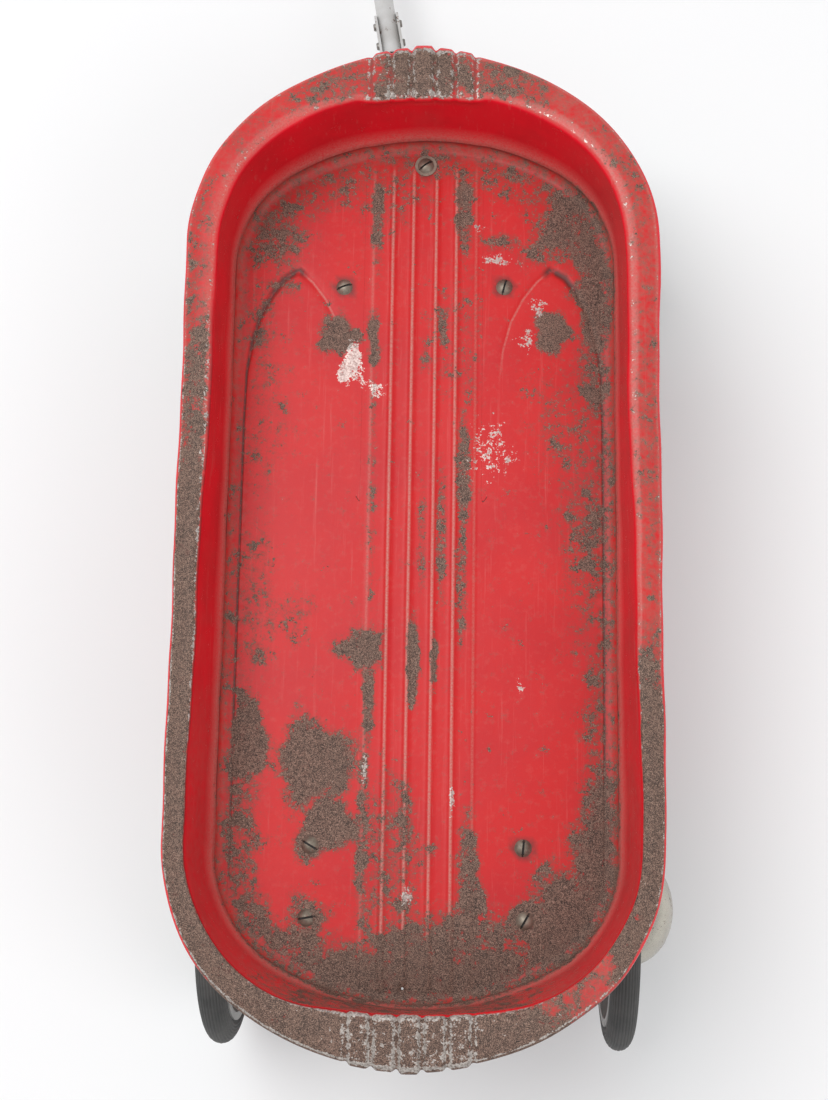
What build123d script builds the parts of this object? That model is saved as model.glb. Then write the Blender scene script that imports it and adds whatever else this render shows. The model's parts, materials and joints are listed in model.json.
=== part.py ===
from build123d import *
import math
import os

# A pressed steel coaster wagon: an oval tub on two axles, the front one steered by a pull handle.
# Working frame: +X right, +Y forward to the handle, +Z up, zero at the middle of the tub on the ground.
# At the end every piece moves so that the origin is the bottom centre of the whole bounding box.
# All sizes are in millimetres.

# Tub
SHEET = 1.4
RIM_TOP = 366.0
FLOOR_TOP = 272.0
LIP_FALL = 4.0
SKIRT_DROP = 10.0
COVE = 11.0
# An oval is its half width, reach forward, reach back, corner radius and end radius.
RIM_OVAL = (203.3, 431.0, 431.0, 156.6, 231.7)
LIP_BEND_OVAL = (180.5, 388.0, 388.5, 127.0, 420.0)
FLOOR_OVAL = (172.5, 385.0, 388.0, 107.0, 239.0)
RIB_PLACES = (-29.0, -10.5, 10.5, 29.0)
RIB_WIDTH = 5.0
RIB_HEIGHT = 1.4
RIB_FRONT = 345.0
RIB_REAR = -365.0
DRAIN_RADIUS = 2.2
DRAIN_PLACE = (-10.0, -374.5)

# Floor screws
SCREW_RADIUS = 3.0
SCREW_HOLE = 3.2
SCREW_HEAD_RADIUS = 7.5
SCREW_HEAD_HEIGHT = 3.4
SLOT_WIDTH = 1.6
SLOT_DEPTH = 1.6
FRONT_SCREW_PLACES = ((0.0, 363.5), (-73.0, 245.5), (73.0, 245.5))
REAR_SCREW_PLACES = ((-91.0, -257.0), (91.0, -257.0), (-92.5, -317.5), (92.5, -317.5))
SLOT_ANGLES = (35.0, 20.0, 75.0, -30.0, 85.0, 10.0, 60.0)
SCREW_WASHER_RADIUS = 10.0
SCREW_WASHER = 1.0
NUT_FLATS = 10.0
NUT_HEIGHT = 5.0
FRONT_TAIL = 1.5
REAR_TAIL = 4.0

# Running gear
PLATE = 3.0
AXLE_RADIUS = 6.35
AXLE_HEIGHT = 127.0
AXLE_HALF = 216.0
REAR_AXLE_Y = -308.0
KINGPIN_Y = 308.0
LEG_TOP_X = 104.0
LEG_FOOT_X = 148.0
LEG_FLANGE = 26.0
LEG_BEND_Z = 158.0
EAR_RADIUS = 16.0
AXLE_HOLE = 6.45
KINGPIN_RADIUS = 6.2
KINGPIN_TAIL = 11.0
COLLAR_RADIUS = 13.0
COLLAR_HEIGHT = 6.0
WASHER = 2.0
BEARING_RADIUS = 34.0
KINGPIN_NUT_FLATS = 19.0
KINGPIN_NUT_HEIGHT = 8.0
TURN_GAP = 0.2
RUNNING_GAP = 0.08

# Wheels
WHEEL_RADIUS = 127.0
WHEEL_X = 181.0
TYRE_HALF = 12.5
RIM_GROOVE = 10.6
TYRE_SEAT = 100.9
RIM_FLANGE = 106.0
DISC_SHEET = 1.8
HUB_RADIUS = 14.0
HUB_HALF = 25.0
CAP_SEAT = 9.0
CAP_RADIUS = 52.0
CAP_DEPTH = 43.0
CAP_SHEET = 1.0
SIDE_GAP = 0.3
COTTER_HOLE = 1.5
COTTER_RADIUS = 1.35

# Handle
PIVOT_REACH = 172.0
PIVOT_HEIGHT = 112.0
PIVOT_RADIUS = 4.0
DRAWBAR_WIDTH = 19.4
DRAWBAR_SHEET = 2.6
STEER_AT_REST = 9.5
HANDLE_LENGTH = 700.0
STRAP = 2.6
STRAP_WIDTH = 20.0
STRAP_REACH = 143.0
STRAP_GAP = 20.1
RIVET_PLACES = (106.0, 130.5)
RIVET_RADIUS = 3.0
RIVET_HEAD = 4.1
RIVET_RISE = 2.6
BOLT_FLATS = 13.0
BOLT_HEAD = 5.0
BOLT_NUT_HEIGHT = 6.5
BOLT_TAIL = 1.0
POLE_WIDTH = 20.0
POLE_HEIGHT = 13.0
POLE_START = 93.0
POLE_WALL = 1.6
GRIP_ROD = 6.0
GRIP_HALF = 52.0
GRIP_DEPTH = 74.0
GRIP_SHOULDER = 26.0
GRIP_NECK = 8.0
GRIP_STUB = 40.0

os.makedirs("parts", exist_ok=True)
pieces = {}


def oval_wire(oval, z, inset=0.0):
    """An oval of two straight sides, four corner arcs and two end arcs, all tangent."""
    half, front, rear, corner, end = oval
    half, front, rear = half - inset, front - inset, rear - inset
    corner, end = corner - inset, end - inset
    across = half - corner
    along = math.sqrt((end - corner) ** 2 - across**2)
    lean = math.atan2(along, across)

    def quarter(reach, forward):
        """The side's end, the corner arc's middle, where it meets the end arc, and the tip."""
        centre = reach - end
        points = []
        for angle in (0.0, lean / 2, lean):
            x = across + corner * math.cos(angle)
            points.append((x, forward * (centre + along + corner * math.sin(angle)), z))
        return [*points, (0.0, forward * reach, z)]

    def mirrored(points):
        return [(-x, y, height) for x, y, height in points]

    fore, aft = quarter(front, 1), quarter(rear, -1)
    fore_left, aft_left = mirrored(fore), mirrored(aft)
    return Wire(
        [
            Line(aft[0], fore[0]),
            ThreePointArc(*fore[:3]),
            ThreePointArc(fore[2], fore[3], fore_left[2]),
            ThreePointArc(*fore_left[2::-1]),
            Line(fore_left[0], aft_left[0]),
            ThreePointArc(*aft_left[:3]),
            ThreePointArc(aft_left[2], aft[3], aft[2]),
            ThreePointArc(*aft[2::-1]),
        ]
    )


def upright(x, y, z, radius, height):
    """A cylinder that stands on z."""
    return Pos(x, y, z + height / 2) * Cylinder(radius, height)


def across_rod(x, y, z, radius, length):
    """A cylinder along X, centred on its point."""
    return Pos(x, y, z) * Rot(0, 90, 0) * Cylinder(radius, length)


def hexagon(x, y, z, flats, height, bore):
    nut = extrude(RegularPolygon(flats / 2, 6, major_radius=False), height)
    return Pos(x, y, z) * (nut - upright(0, 0, 0, bore, height))


def offset_points(points, distance):
    """The points of an open line moved sideways to its left, with mitred corners."""
    moved = []
    for i, (x, y) in enumerate(points):
        near = [j for j in (i - 1, i) if 0 <= j < len(points) - 1]
        normals = []
        for j in near:
            dx = points[j + 1][0] - points[j][0]
            dy = points[j + 1][1] - points[j][1]
            normals.append((-dy / math.hypot(dx, dy), dx / math.hypot(dx, dy)))
        nx = sum(n[0] for n in normals)
        ny = sum(n[1] for n in normals)
        scale = distance / (nx * normals[0][0] + ny * normals[0][1])
        moved.append((x + nx * scale, y + ny * scale))
    return moved


def strip(points, sheet):
    """A face of even thickness, half each side of an open line."""
    outline = offset_points(points, sheet / 2) + offset_points(points, -sheet / 2)[::-1]
    return make_face(Polyline(*outline, close=True))


def spun(face):
    """A profile drawn as (along, radius) and turned about the X axis."""
    return revolve(face, Axis.X, 360)


def keep(name, *shapes):
    """Stores one sub-part, which may be several like solids."""
    solids = [solid for shape in shapes for solid in shape.solids()]
    pieces[name] = solids[0] if len(solids) == 1 else Compound(children=solids)


def tub():
    """One pressing: ribbed floor, coved foot, wall, sloping lip and a turned-down rim.
    Its skin runs through ovals from the floor's top, over the rim and back to the floor's underside."""
    rim_z = RIM_TOP - LIP_FALL
    skirt_z = rim_z - SKIRT_DROP
    bend = 0.29 * COVE
    skin = [
        (FLOOR_OVAL, FLOOR_TOP, COVE),
        (FLOOR_OVAL, FLOOR_TOP + bend, bend),
        (FLOOR_OVAL, FLOOR_TOP + COVE, 0.0),
        (LIP_BEND_OVAL, RIM_TOP, 0.0),
        (RIM_OVAL, rim_z, 0.0),
        (RIM_OVAL, skirt_z, 0.0),
        (RIM_OVAL, skirt_z, SHEET),
        (RIM_OVAL, rim_z - SHEET, SHEET),
        (LIP_BEND_OVAL, RIM_TOP - SHEET, -SHEET),
        (FLOOR_OVAL, FLOOR_TOP + COVE, -SHEET),
        (FLOOR_OVAL, FLOOR_TOP + bend - SHEET, bend - SHEET),
        (FLOOR_OVAL, FLOOR_TOP - SHEET, COVE - SHEET / 2),
    ]
    shell = Solid.make_loft([oval_wire(oval, z, inset) for oval, z, inset in skin], ruled=True)
    for x, y in FRONT_SCREW_PLACES + REAR_SCREW_PLACES:
        shell -= upright(x, y, FLOOR_TOP - 2 * SHEET, SCREW_HOLE, 4 * SHEET)
    shell -= upright(*DRAIN_PLACE, FLOOR_TOP - 2 * SHEET, DRAIN_RADIUS, 4 * SHEET)
    for x in RIB_PLACES:
        rib = Box(RIB_WIDTH, RIB_FRONT - RIB_REAR, RIB_HEIGHT + SHEET / 2)
        shell += Pos(x, (RIB_FRONT + RIB_REAR) / 2, FLOOR_TOP + (RIB_HEIGHT - SHEET / 2) / 2) * rib
    return shell


def screw(x, y, seat, angle, length):
    """A round-head machine screw with one slot, its head on the seat."""
    ball = (SCREW_HEAD_RADIUS**2 + SCREW_HEAD_HEIGHT**2) / (2 * SCREW_HEAD_HEIGHT)
    cap = Pos(0, 0, SCREW_HEAD_HEIGHT - ball) * Sphere(ball)
    cap &= upright(0, 0, 0, SCREW_HEAD_RADIUS + 1, SCREW_HEAD_HEIGHT + 1)
    slot = Pos(0, 0, SCREW_HEAD_HEIGHT) * Box(3 * SCREW_HEAD_RADIUS, SLOT_WIDTH, 2 * SLOT_DEPTH)
    shank = upright(0, 0, -length, SCREW_RADIUS, length)
    return Pos(x, y, seat) * Rot(0, 0, angle) * (cap - slot + shank)


def corner_plate(points, radius, z, holes):
    """A flat plate with rounded corners and upright holes of (x, y, radius)."""
    face = make_face(Polyline(*points, close=True))
    face = fillet(face.vertices(), radius)
    plate = Pos(0, 0, z) * extrude(face, PLATE)
    for x, y, hole in holes:
        plate -= upright(x, y, z - PLATE, hole, 3 * PLATE)
    return plate


def leg(side, axle_y, top_z, front, back):
    """A pressed leg: top flange, splayed web and an ear around the axle."""
    line = [
        (LEG_TOP_X - LEG_FLANGE, top_z - PLATE / 2),
        (LEG_TOP_X, top_z - PLATE / 2),
        (LEG_FOOT_X, LEG_BEND_Z),
        (LEG_FOOT_X, AXLE_HEIGHT - EAR_RADIUS - 1),
    ]
    band = Plane.XZ * strip([(side * x, z) for x, z in line], PLATE)
    length = front + back + 2 * EAR_RADIUS
    band = Pos(0, axle_y + front + EAR_RADIUS, 0) * extrude(band, length)
    outline = [
        (axle_y - back, top_z + 1),
        (axle_y - back, top_z - 18),
        (axle_y - EAR_RADIUS, AXLE_HEIGHT),
        (axle_y + EAR_RADIUS, AXLE_HEIGHT),
        (axle_y + front, top_z - 18),
        (axle_y + front, top_z + 1),
    ]
    web = Plane.YZ * make_face(Polyline(*outline, close=True))
    keep_zone = extrude(web, side * (LEG_FOOT_X + 10))
    keep_zone += across_rod(side * LEG_FOOT_X, axle_y, AXLE_HEIGHT, EAR_RADIUS, 20)
    hole = across_rod(side * LEG_FOOT_X, axle_y, AXLE_HEIGHT, AXLE_HOLE, 30)
    return (band & keep_zone) - hole


def axle(axle_y):
    """A plain steel rod with a cotter hole near each end."""
    rod = across_rod(0, axle_y, AXLE_HEIGHT, AXLE_RADIUS, 2 * AXLE_HALF)
    for side in (-1, 1):
        rod -= upright(side * COTTER_X, axle_y, AXLE_HEIGHT - 10, COTTER_HOLE, 20)
    return rod


def ring(x_inner, x_outer, axle_y, radius, bore):
    middle = (x_inner + x_outer) / 2
    length = abs(x_outer - x_inner)
    body = across_rod(middle, axle_y, AXLE_HEIGHT, radius, length)
    return body - across_rod(middle, axle_y, AXLE_HEIGHT, bore, length + 2)


def cotter(x, axle_y):
    """A split pin through the axle, with a ball eye above and two bent legs below."""
    pin = upright(x, axle_y, AXLE_HEIGHT - 11, COTTER_RADIUS, 20.5)
    eye = Pos(x, axle_y, AXLE_HEIGHT + 11) * Rot(0, 90, 0) * Torus(2.6, 1.2)
    return pin + eye


def wheel_pieces(side, axle_y):
    """Solid rubber tyre, pressed disc, welded hub tube and domed cap, out from the axle's middle."""
    shoulder = [(TYRE_HALF, 113.5), (TYRE_HALF - 1.9, 119.5), (7.0, 124.6)]
    sides = [(TYRE_HALF, 108.8), (RIM_GROOVE, 106.4), (RIM_GROOVE, TYRE_SEAT)]
    mirrored_shoulder = [(-x, r) for x, r in shoulder]
    tyre_edges = [
        Polyline(*[(-x, r) for x, r in sides][::-1], mirrored_shoulder[0]),
        ThreePointArc(*mirrored_shoulder),
        ThreePointArc(mirrored_shoulder[2], (0, WHEEL_RADIUS), shoulder[2]),
        ThreePointArc(*shoulder[::-1]),
        Polyline(shoulder[0], *sides),
        Line((RIM_GROOVE, TYRE_SEAT), (-RIM_GROOVE, TYRE_SEAT)),
    ]
    tyre = spun(make_face(tyre_edges))
    seat_line = CAP_SEAT - DISC_SHEET / 2
    seat = TYRE_SEAT - 0.1 - DISC_SHEET / 2
    flange_x = RIM_GROOVE + 0.2 + DISC_SHEET / 2
    dish = [(2.0, HUB_RADIUS + 0.05), (2.0, 28.0), (seat_line, 42.0), (seat_line, 58.0)]
    dish += [(1.0, 88.0), (0.0, seat)]
    channel = [(-flange_x, RIM_FLANGE), (-flange_x, seat), (flange_x, seat), (flange_x, RIM_FLANGE)]
    disc = spun(strip(dish, DISC_SHEET)) + spun(strip(channel, DISC_SHEET))
    hub = across_rod(0, 0, 0, HUB_RADIUS, 2 * HUB_HALF)
    hub -= across_rod(0, 0, 0, AXLE_RADIUS + RUNNING_GAP, 2 * HUB_HALF + 2)
    dome = Ellipse(CAP_DEPTH, CAP_RADIUS) - Ellipse(CAP_DEPTH - CAP_SHEET, CAP_RADIUS - CAP_SHEET)
    dome &= Pos(CAP_DEPTH / 2, CAP_RADIUS / 2) * Rectangle(CAP_DEPTH, CAP_RADIUS)
    cap = Pos(CAP_SEAT, 0, 0) * spun(dome)
    turned = Pos(side * WHEEL_X, axle_y, AXLE_HEIGHT) * Rot(0, 0, 0 if side > 0 else 180)
    return {"tyre": turned * tyre, "disc": turned * disc, "hub": turned * hub, "cap": turned * cap}


def drawbar():
    """A channel open below, from the front axle to the handle pivot, with a hole at each end."""
    rear = (KINGPIN_Y, AXLE_HEIGHT, 15.0)
    nose = (KINGPIN_Y + PIVOT_REACH, PIVOT_HEIGHT, 12.0)

    def hull(shrink, width):
        ends = [Pos(y, z) * Circle(r - shrink) for y, z, r in (rear, nose)]
        flank = make_hull([*ends[0].edges(), *ends[1].edges()])
        return Pos(-width / 2, 0, 0) * extrude(Plane.YZ * flank, width)

    bar = hull(0.0, DRAWBAR_WIDTH) - hull(DRAWBAR_SHEET, DRAWBAR_WIDTH - 2 * DRAWBAR_SHEET)
    trough = Box(DRAWBAR_WIDTH - 2 * DRAWBAR_SHEET, PIVOT_REACH, 16)
    bar -= Pos(0, KINGPIN_Y + PIVOT_REACH / 2, PIVOT_HEIGHT - 9) * trough
    bar -= across_rod(0, KINGPIN_Y, AXLE_HEIGHT, AXLE_HOLE, 40)
    return bar - across_rod(0, KINGPIN_Y + PIVOT_REACH, PIVOT_HEIGHT, PIVOT_RADIUS + RUNNING_GAP, 40)


def brace(side, plate_z):
    """A flat stay from the turning plate's front down to the drawbar's flank."""
    inner = DRAWBAR_WIDTH / 2
    start = (side * 62.0, KINGPIN_Y + 30.0, plate_z - 2.5)
    end = (side * (inner + 2.2), KINGPIN_Y + 92.0, 119.5)
    run = Vector(*end) - Vector(*start)
    path_plane = Plane(origin=start, z_dir=run)
    stay = extrude(path_plane * Rectangle(10.0, 4.0), run.length)
    foot = Pos(side * (inner + 2.0), end[1] + 3, end[2] - 1) * Box(4.0, 22.0, 14.0)
    pad = Pos(start[0], start[1], plate_z - 1.5) * Box(16.0, 16.0, 3.0)
    below = Pos(start[0], start[1], plate_z + 10) * Box(60, 60, 20)
    wall = Pos(0, end[1], end[2]) * Box(2 * inner, 80, 80)
    return stay + foot + pad - below - wall


COTTER_X = WHEEL_X + HUB_HALF + SIDE_GAP + WASHER + COTTER_RADIUS + 0.3
PLATE_BOTTOM = FLOOR_TOP - SHEET - PLATE
COLLAR_BOTTOM = PLATE_BOTTOM - COLLAR_HEIGHT
WASHER_BOTTOM = COLLAR_BOTTOM - TURN_GAP - WASHER
TURN_PLATE_BOTTOM = WASHER_BOTTOM - PLATE
NUT_WASHER_BOTTOM = TURN_PLATE_BOTTOM - TURN_GAP - WASHER

# The tub and what is screwed under its floor
keep("tub", tub())
grip_length = SHEET + PLATE + NUT_HEIGHT
front_length = grip_length + FRONT_TAIL
washer_seat = FLOOR_TOP + SCREW_WASHER
nose_screw = FRONT_SCREW_PLACES[0]
front_screws = [screw(*nose_screw, washer_seat, SLOT_ANGLES[0], front_length + SCREW_WASHER)]
for place, angle in zip(FRONT_SCREW_PLACES[1:], SLOT_ANGLES[1:3]):
    front_screws.append(screw(*place, FLOOR_TOP, angle, front_length))
keep("front_floor_screws", *front_screws)
rear_screws = []
for place, angle in zip(REAR_SCREW_PLACES, SLOT_ANGLES[3:]):
    rear_screws.append(screw(*place, FLOOR_TOP, angle, grip_length + REAR_TAIL))
keep("rear_floor_screws", *rear_screws)
nose_washer = upright(*nose_screw, FLOOR_TOP, SCREW_WASHER_RADIUS, SCREW_WASHER)
keep("nose_screw_washer", nose_washer - upright(*nose_screw, FLOOR_TOP, SCREW_HOLE, SCREW_WASHER))
nut_bore = SCREW_RADIUS + 0.05
front_nut_z = PLATE_BOTTOM - NUT_HEIGHT
rear_nut_z = front_nut_z - PLATE
front_nuts = [hexagon(x, y, front_nut_z, NUT_FLATS, NUT_HEIGHT, nut_bore) for x, y in FRONT_SCREW_PLACES]
keep("front_nuts", *front_nuts)
rear_nuts = [hexagon(x, y, rear_nut_z, NUT_FLATS, NUT_HEIGHT, nut_bore) for x, y in REAR_SCREW_PLACES]
keep("rear_nuts", *rear_nuts)

front_outline = [(-92, 225), (92, 225), (92, 268), (26, 384), (-26, 384), (-92, 268)]
front_holes = [(x, y, SCREW_HOLE) for x, y in FRONT_SCREW_PLACES]
front_holes.append((0, KINGPIN_Y, KINGPIN_RADIUS))
keep("front_plate", corner_plate(front_outline, 12, PLATE_BOTTOM, front_holes))
rear_outline = [(-116, -346), (116, -346), (116, -236), (-116, -236)]
rear_holes = [(x, y, SCREW_HOLE) for x, y in REAR_SCREW_PLACES]
keep("rear_plate", corner_plate(rear_outline, 12, PLATE_BOTTOM, rear_holes))
for side, hand in ((-1, "left"), (1, "right")):
    rear_leg = leg(side, REAR_AXLE_Y, PLATE_BOTTOM, 68, 36)
    for x, y, hole in rear_holes:
        rear_leg -= upright(x, y, PLATE_BOTTOM - 2 * PLATE, hole, 3 * PLATE)
    keep(f"rear_leg_{hand}", rear_leg)

tail_z = NUT_WASHER_BOTTOM - KINGPIN_TAIL
thread_bore = KINGPIN_RADIUS + 0.05
kingpin = upright(0, KINGPIN_Y, tail_z, KINGPIN_RADIUS, PLATE_BOTTOM + PLATE - tail_z)
kingpin += upright(0, KINGPIN_Y, COLLAR_BOTTOM, COLLAR_RADIUS, COLLAR_HEIGHT)
keep("kingpin", kingpin)
nut_washer = upright(0, KINGPIN_Y, NUT_WASHER_BOTTOM, COLLAR_RADIUS + 1, WASHER)
keep("kingpin_washer", nut_washer - upright(0, KINGPIN_Y, NUT_WASHER_BOTTOM, thread_bore, WASHER))
nut_z = NUT_WASHER_BOTTOM - KINGPIN_NUT_HEIGHT
keep("kingpin_nut", hexagon(0, KINGPIN_Y, nut_z, KINGPIN_NUT_FLATS, KINGPIN_NUT_HEIGHT, thread_bore))

# Each axle with its spacers, washers and cotter pins
leg_face = LEG_FOOT_X + PLATE / 2
hub_inner = WHEEL_X - HUB_HALF - SIDE_GAP
hub_outer = WHEEL_X + HUB_HALF + SIDE_GAP
bore = AXLE_RADIUS + 0.05
for end, axle_y in (("front", KINGPIN_Y), ("rear", REAR_AXLE_Y)):
    keep(f"{end}_axle", axle(axle_y))
    spacers = [ring(s * leg_face, s * hub_inner, axle_y, 10.0, bore) for s in (-1, 1)]
    keep(f"{end}_axle_spacers", *spacers)
    washers = [ring(s * hub_outer, s * (hub_outer + WASHER), axle_y, 12.0, bore) for s in (-1, 1)]
    keep(f"{end}_axle_washers", *washers)
    keep(f"{end}_cotter_pins", *[cotter(s * COTTER_X, axle_y) for s in (-1, 1)])
    for side, hand in ((-1, "left"), (1, "right")):
        for part, shape in wheel_pieces(side, axle_y).items():
            keep(f"{end}_{hand}_{part}", shape)

# The steered carriage under the kingpin
turn_hole = KINGPIN_RADIUS + RUNNING_GAP
turn_rear, turn_front = KINGPIN_Y - 46, KINGPIN_Y + 46
turn_outline = [(-116, turn_rear), (116, turn_rear), (116, turn_front), (-116, turn_front)]
keep("turning_plate", corner_plate(turn_outline, 14, TURN_PLATE_BOTTOM, [(0, KINGPIN_Y, turn_hole)]))
bearing = upright(0, KINGPIN_Y, WASHER_BOTTOM, BEARING_RADIUS, WASHER)
keep("bearing_washer", bearing - upright(0, KINGPIN_Y, WASHER_BOTTOM, turn_hole, WASHER))
for side, hand in ((-1, "left"), (1, "right")):
    keep(f"front_leg_{hand}", leg(side, KINGPIN_Y, TURN_PLATE_BOTTOM, 42, 42))
    keep(f"drawbar_brace_{hand}", brace(side, TURN_PLATE_BOTTOM))
keep("drawbar", drawbar())

# The handle, drawn straight ahead of its pivot, then lowered until its grip lies on the ground
handle = {}
half_gap = STRAP_GAP / 2
for side, hand in ((-1, "left"), (1, "right")):
    blank = Plane.YZ * (Pos((STRAP_REACH - 12) / 2, 0) * SlotOverall(STRAP_REACH + 12, STRAP_WIDTH))
    blade = Pos(half_gap if side > 0 else -half_gap - STRAP, 0, 0) * extrude(blank, STRAP)
    for y, radius in [(0.0, PIVOT_RADIUS + 0.05)] + [(y, RIVET_RADIUS + 0.05) for y in RIVET_PLACES]:
        blade -= across_rod(0, y, 0, radius, 60)
    handle[f"strap_{hand}"] = blade
pole_end = HANDLE_LENGTH - GRIP_DEPTH
section = Ellipse(POLE_WIDTH / 2, POLE_HEIGHT / 2)
section -= Ellipse(POLE_WIDTH / 2 - POLE_WALL, POLE_HEIGHT / 2 - POLE_WALL)
pole = Pos(0, pole_end, 0) * extrude(Plane.XZ * section, pole_end - POLE_START)
for y in RIVET_PLACES:
    pole -= across_rod(0, y, 0, RIVET_RADIUS + 0.05, 60)
handle["pole"] = pole
outer_face = half_gap + STRAP
rivets = []
for y in RIVET_PLACES:
    rivet = across_rod(0, y, 0, RIVET_RADIUS, 2 * outer_face)
    for side in (-1, 1):
        head = Pos(side * outer_face, y, 0) * Sphere(RIVET_HEAD)
        head &= Pos(side * (outer_face + RIVET_HEAD), y, 0) * Box(2 * RIVET_HEAD, 20, 20)
        flattened = Pos(side * (outer_face + RIVET_RISE / 2), y, 0) * Box(RIVET_RISE, 20, 20)
        rivet += head & flattened
    rivets.append(rivet)
handle["handle_rivets"] = Compound(children=[s for r in rivets for s in r.solids()])
bolt_end = outer_face + BOLT_NUT_HEIGHT + BOLT_TAIL
shank = across_rod((bolt_end - outer_face) / 2, 0, 0, PIVOT_RADIUS, bolt_end + outer_face)
bolt_head = Rot(0, 90, 0) * extrude(RegularPolygon(BOLT_FLATS / 2, 6, major_radius=False), BOLT_HEAD)
handle["pivot_bolt"] = shank + Pos(-outer_face - BOLT_HEAD, 0, 0) * bolt_head
pivot_nut = Rot(0, 90, 0) * hexagon(0, 0, 0, BOLT_FLATS, BOLT_NUT_HEIGHT, PIVOT_RADIUS + 0.05)
handle["pivot_nut"] = Pos(outer_face, 0, 0) * pivot_nut
loop_points = [
    (GRIP_HALF, pole_end + GRIP_SHOULDER),
    (GRIP_HALF, HANDLE_LENGTH - GRIP_ROD),
    (-GRIP_HALF, HANDLE_LENGTH - GRIP_ROD),
    (-GRIP_HALF, pole_end + GRIP_SHOULDER),
    (0, pole_end + GRIP_NECK),
]
loop = FilletPolyline(*loop_points, radius=13, close=True)
loop_plane = Plane(origin=(0, HANDLE_LENGTH - GRIP_ROD, 0), z_dir=(1, 0, 0))
grip = sweep(loop_plane * Circle(GRIP_ROD), path=loop)
stub_radius = POLE_HEIGHT / 2 - POLE_WALL - 0.1
stub = Pos(0, pole_end + GRIP_NECK, 0) * extrude(Plane.XZ * Circle(stub_radius), GRIP_STUB)
handle["grip"] = grip + stub

grip_droop = PIVOT_HEIGHT - GRIP_ROD
handle_tilt = math.degrees(math.asin(grip_droop / (HANDLE_LENGTH - GRIP_ROD)))
place_handle = Pos(0, KINGPIN_Y + PIVOT_REACH, PIVOT_HEIGHT) * Rot(-handle_tilt, 0, 0)
for name, shape in handle.items():
    keep(name, place_handle * shape)

# The carriage and handle stand turned to the left, as they were left
turned = ["turning_plate", "bearing_washer", "drawbar", *handle]
turned += [name for name in pieces if name.startswith(("front_leg", "drawbar_brace", "front_axle"))]
turned += [name for name in pieces if name.startswith(("front_cotter", "front_left", "front_right"))]
steer = Pos(0, KINGPIN_Y, 0) * Rot(0, 0, STEER_AT_REST) * Pos(0, -KINGPIN_Y, 0)
for name in turned:
    pieces[name] = steer * pieces[name]

corners = [shape.bounding_box() for shape in pieces.values()]
low = [min(tuple(box.min)[i] for box in corners) for i in range(3)]
high = [max(tuple(box.max)[i] for box in corners) for i in range(3)]
shift = (-(low[0] + high[0]) / 2, -(low[1] + high[1]) / 2, -low[2])
print("shift", [round(s, 3) for s in shift], "tilt", round(handle_tilt, 3))
for name, shape in pieces.items():
    export_step(Pos(*shift) * shape, f"parts/{name}.step")
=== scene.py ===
import json
import math

import bmesh
import bpy
import numpy as np
from mathutils import Euler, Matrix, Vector
from mathutils.geometry import delaunay_2d_cdt


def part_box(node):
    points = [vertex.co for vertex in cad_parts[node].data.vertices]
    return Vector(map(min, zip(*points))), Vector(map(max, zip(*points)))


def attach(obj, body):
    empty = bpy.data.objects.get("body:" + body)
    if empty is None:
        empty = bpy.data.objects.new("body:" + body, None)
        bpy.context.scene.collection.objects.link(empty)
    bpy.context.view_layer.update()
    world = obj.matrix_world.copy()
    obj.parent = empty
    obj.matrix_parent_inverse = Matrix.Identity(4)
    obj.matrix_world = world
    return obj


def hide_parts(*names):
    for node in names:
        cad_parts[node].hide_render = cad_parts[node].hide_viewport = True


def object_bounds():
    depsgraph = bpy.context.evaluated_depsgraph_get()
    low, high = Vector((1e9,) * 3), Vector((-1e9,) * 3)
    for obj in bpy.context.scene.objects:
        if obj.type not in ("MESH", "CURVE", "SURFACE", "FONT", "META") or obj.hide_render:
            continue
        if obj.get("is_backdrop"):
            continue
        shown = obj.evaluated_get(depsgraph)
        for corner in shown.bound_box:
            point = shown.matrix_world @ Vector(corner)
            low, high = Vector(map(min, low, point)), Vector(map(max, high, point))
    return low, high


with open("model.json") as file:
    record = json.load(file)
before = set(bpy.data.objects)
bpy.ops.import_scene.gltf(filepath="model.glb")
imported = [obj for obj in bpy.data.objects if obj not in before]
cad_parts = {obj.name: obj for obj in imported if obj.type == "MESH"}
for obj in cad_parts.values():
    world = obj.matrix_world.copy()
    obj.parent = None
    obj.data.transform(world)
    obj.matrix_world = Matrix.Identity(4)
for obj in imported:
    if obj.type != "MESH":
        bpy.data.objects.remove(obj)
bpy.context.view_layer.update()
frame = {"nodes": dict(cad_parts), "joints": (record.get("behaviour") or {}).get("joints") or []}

nodes = frame["nodes"]

# The stage: a pale board under a broad soft box, seen from above with the handle at the top.
# The camera is placed from the middle of the tub's rim.
tub_low, tub_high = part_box("tub")
rim_middle = Vector((0.0, (tub_low.y + tub_high.y) / 2, tub_high.z))

view_data = bpy.data.cameras.new("view")
view_data.lens, view_data.sensor_width = 54.0, 36.0
view = bpy.data.objects.new("view", view_data)
view.location = rim_middle + Vector((0.0545, -0.2833, 1.3346))
view.rotation_euler = Euler([math.radians(a) for a in (11.281, 2.247, 0.849)])
bpy.context.collection.objects.link(view)
bpy.context.scene.camera = view
bpy.context.scene.view_settings.view_transform = "Standard"

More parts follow.
